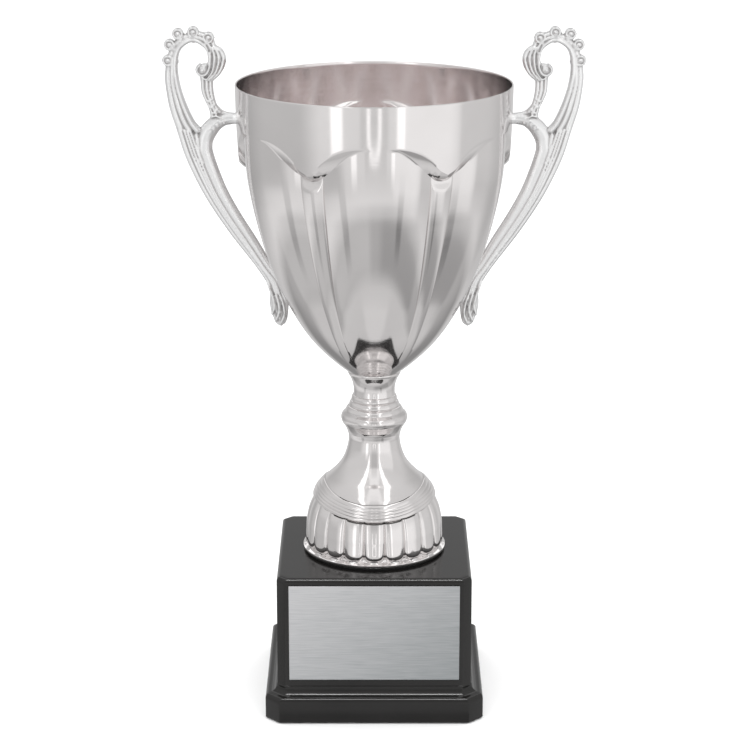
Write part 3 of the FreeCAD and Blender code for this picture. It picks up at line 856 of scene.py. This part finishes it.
def make_handles():
    vertices, faces = [], []
    for part_vertices, part_faces in [handle_core(), *arm_parts(), *scroll_parts(), *neck_parts(),
                                      *foot_parts()]:
        offset = sum(len(v) for v in vertices)
        vertices.append(part_vertices)
        faces += [[i + offset for i in face] for face in part_faces]
    casting = new_piece("casting", np.concatenate(vertices), faces)
    remesh = casting.modifiers.new("cast", "REMESH")
    remesh.mode = "VOXEL"
    remesh.voxel_size = 0.36 * MM
    remesh.use_smooth_shade = True
    soften = casting.modifiers.new("soften", "SMOOTH")
    soften.factor = 0.5
    soften.iterations = 4
    mesh = evaluated_mesh(casting)
    # The relief drives the painted shade in the hollows of cast_silver.
    mark_relief(mesh)
    right = bpy.data.objects.new("handle_right_casting", mesh)
    mirrored = mesh.copy()
    mirrored.transform(np.diag([-1.0, 1.0, 1.0, 1.0]))
    mirrored.flip_normals()
    left = bpy.data.objects.new("handle_left_casting", mirrored)
    for piece, node in ((right, "handle_right"), (left, "handle_left")):
        bpy.context.scene.collection.objects.link(piece)
        finish_piece(piece, [node], "cast_silver", finishes["cast_silver"])


make_handles()

# ---- Floor, light and camera ----
def make_floor():
    size = 6000.0
    corners = [(-size, -size, 0), (size, -size, 0), (size, size, 0), (-size, size, 0)]
    floor = new_piece("floor", corners, [(0, 1, 2, 3)])
    floor.data.materials.append(grained("floor_white", (0.93, 0.93, 0.93), (0.92, 0.92, 0.92), 4.0,
                                        (0.85, 0.95), 0.0))
    floor.visible_glossy = False


def area_light(name, place, aim, size, power, seen=None):
    """Soft light. One that is seen in reflections lights the named piece only."""
    lamp = bpy.data.lights.new(name, "AREA")
    lamp.shape = "RECTANGLE"
    lamp.size, lamp.size_y = size
    lamp.energy = power
    light = bpy.data.objects.new(name, lamp)
    light.location = place
    light.rotation_euler = (Vector(aim) - Vector(place)).to_track_quat("-Z", "Y").to_euler()
    light.visible_glossy = bool(seen)
    if seen:
        lit = bpy.data.collections.new(name + "_lit")
        lit.objects.link(bpy.data.objects[seen])
        light.light_linking.receiver_collection = lit
    bpy.context.scene.collection.objects.link(light)


# Brightness of the studio at each elevation, in degrees above the level
studio_greys = [(-90, 0.64), (90, 0.84), (-56, 0.68), (-50, 0.48), (-37, 0.50), (-30, 0.86),
                (-21, 0.80), (-14, 0.86), (4, 0.88), (14, 0.74), (33, 0.72), (48, 0.84)]

# Soft boxes: azimuth from the front, half width, softness, lowest and highest elevation, all in
# degrees, and strength. Those with a strength below nought are dark screens.
soft_boxes = [(-31, 4, 2.0, -19, 14, 0.55), (22, 2.5, 1.5, -19, 14, 0.55),
              (0, 20, 10, 40, 88, 0.22), (0, 26, 20, -90, -62, 0.10),
              (-98, 32, 24, -22, 8, -0.26), (104, 26, 14, -30, 8, -0.14),
              (50, 22, 8, -27, 40, 0.16), (0, 10, 3, -18, 60, -0.16),
              (-50, 40, 10, -52, -34, 0.12), (50, 38, 10, -52, -34, -0.10),
              (-56, 5, 3, -42, -24, -0.20), (40, 4, 3, -42, -24, -0.18)]


def make_world():
    """White round the object, and in its reflections a studio of grey walls and soft boxes."""
    world = bpy.data.worlds.new("studio")
    world.use_nodes = True
    bpy.context.scene.world = world
    tree = world.node_tree
    tree.nodes.clear()

    def math_node(operation, *values):
        made = tree.nodes.new("ShaderNodeMath")
        made.operation = operation
        for socket, value in zip(made.inputs, values):
            if isinstance(value, (int, float)):
                socket.default_value = value
            else:
                tree.links.new(value, socket)
        return made.outputs["Value"]

    def step(value, low, high, start=0.0, end=1.0, kind="SMOOTHSTEP"):
        made = tree.nodes.new("ShaderNodeMapRange")
        made.interpolation_type = kind
        for name, number in zip(range_sockets, (low, high, start, end)):
            made.inputs[name].default_value = number
        tree.links.new(value, made.inputs["Value"])
        return made.outputs["Result"]

    direction = tree.nodes.new("ShaderNodeTexCoord").outputs["Generated"]
    split = tree.nodes.new("ShaderNodeSeparateXYZ")
    tree.links.new(direction, split.inputs["Vector"])
    x, y, z = (split.outputs[k] for k in "XYZ")
    azimuth = math_node("DEGREES", math_node("ARCTAN2", x, math_node("MULTIPLY", y, -1.0)))
    elevation = math_node("DEGREES", math_node("ARCSINE", z))

    def facing(centre, half, soft):
        """One towards an azimuth from the front, fading to nothing beside it."""
        off = math_node("ABSOLUTE", math_node("SUBTRACT", azimuth, centre))
        return step(off, half + soft, half)

    def soft_box(centre, half, soft, low, high, strength):
        above, below = step(elevation, low - 6, low + 6), step(elevation, high + 8, high - 8)
        return math_node("MULTIPLY", math_node("MULTIPLY", facing(centre, half, soft), above),
                         math_node("MULTIPLY", below, strength))

    heights = tree.nodes.new("ShaderNodeValToRGB")
    tree.links.new(step(elevation, -90, 90, kind="LINEAR"), heights.inputs["Fac"])
    for i, (height, grey) in enumerate(studio_greys):
        stop = heights.color_ramp.elements[i] if i < 2 else heights.color_ramp.elements.new(1.0)
        stop.position = (height + 90) / 180
        stop.color = (grey, grey, grey, 1)
    back_wall = math_node("MULTIPLY", math_node("SUBTRACT", 1.0, facing(0, 100, 50)), -0.20)
    # A lit frame in front, shaped like a U
    below_bend = math_node("MINIMUM", math_node("ADD", elevation, 14.0), 0.0)
    down_square = math_node("POWER", math_node("MULTIPLY", below_bend, 1.8), 2.0)
    from_bend = math_node("SQRT", math_node("ADD", math_node("POWER", azimuth, 2.0), down_square))
    rim_of_u = math_node("ABSOLUTE", math_node("SUBTRACT", from_bend, 4.6))
    u_shape = math_node("MULTIPLY", step(rim_of_u, 1.9, 0.9), step(elevation, 4, -4, 0.0, 0.6))
    # Two arched tubes, one on each side, that run from front to back overhead
    tube_off = math_node("ABSOLUTE", math_node("SUBTRACT", math_node("ABSOLUTE", x), 0.33))
    tube_width = math_node("MULTIPLY_ADD", z, 0.05, 0.02)
    tube = step(math_node("DIVIDE", tube_off, tube_width), 1.3, 0.8)
    tubes = math_node("MULTIPLY", tube, step(elevation, 8, 24, 0.0, 0.9))
    total = heights.outputs["Color"]
    for addition in (back_wall, u_shape, tubes, *(soft_box(*numbers) for numbers in soft_boxes)):
        total = math_node("ADD", total, addition)
    studio = tree.nodes.new("ShaderNodeBackground")
    white = tree.nodes.new("ShaderNodeBackground")
    studio.inputs["Color"].default_value = white.inputs["Color"].default_value = (1, 1, 1, 1)
    tree.links.new(total, studio.inputs["Strength"])
    white.inputs["Strength"].default_value = 1.07
    mix = tree.nodes.new("ShaderNodeMixShader")
    ray = tree.nodes.new("ShaderNodeLightPath").outputs["Is Glossy Ray"]
    output = tree.nodes.new("ShaderNodeOutputWorld")
    tree.links.new(ray, mix.inputs["Fac"])
    tree.links.new(white.outputs["Background"], mix.inputs[1])
    tree.links.new(studio.outputs["Background"], mix.inputs[2])
    tree.links.new(mix.outputs["Shader"], output.inputs["Surface"])


def make_camera():
    data = bpy.data.cameras.new("camera")
    data.lens = 121.2
    data.sensor_width = 36.0
    camera = bpy.data.objects.new("camera", data)
    camera.location = (0.0004, -1.258, 0.5343)
    pitch_down = 16.1
    camera.rotation_euler = (math.radians(90 - pitch_down), 0, 0)
    bpy.context.scene.collection.objects.link(camera)
    bpy.context.scene.camera = camera


make_floor()
make_world()
area_light("overhead", (0, -0.2, 2.4), (0, 0, 0), (3.5, 3.5), 60)
for name, place, width, power in (("edge_bar", 0, 0.15, 1.5), ("edge_bar_left", -0.12, 0.09, 3.0),
                                  ("edge_bar_right", 0.12, 0.09, 3.0)):
    area_light(name, (place, -0.45, 1.9), (0, 0, 0), (width, 0.40), power, "plinth_moulding")
make_camera()
bpy.context.scene.view_settings.view_transform = "Standard"

import json
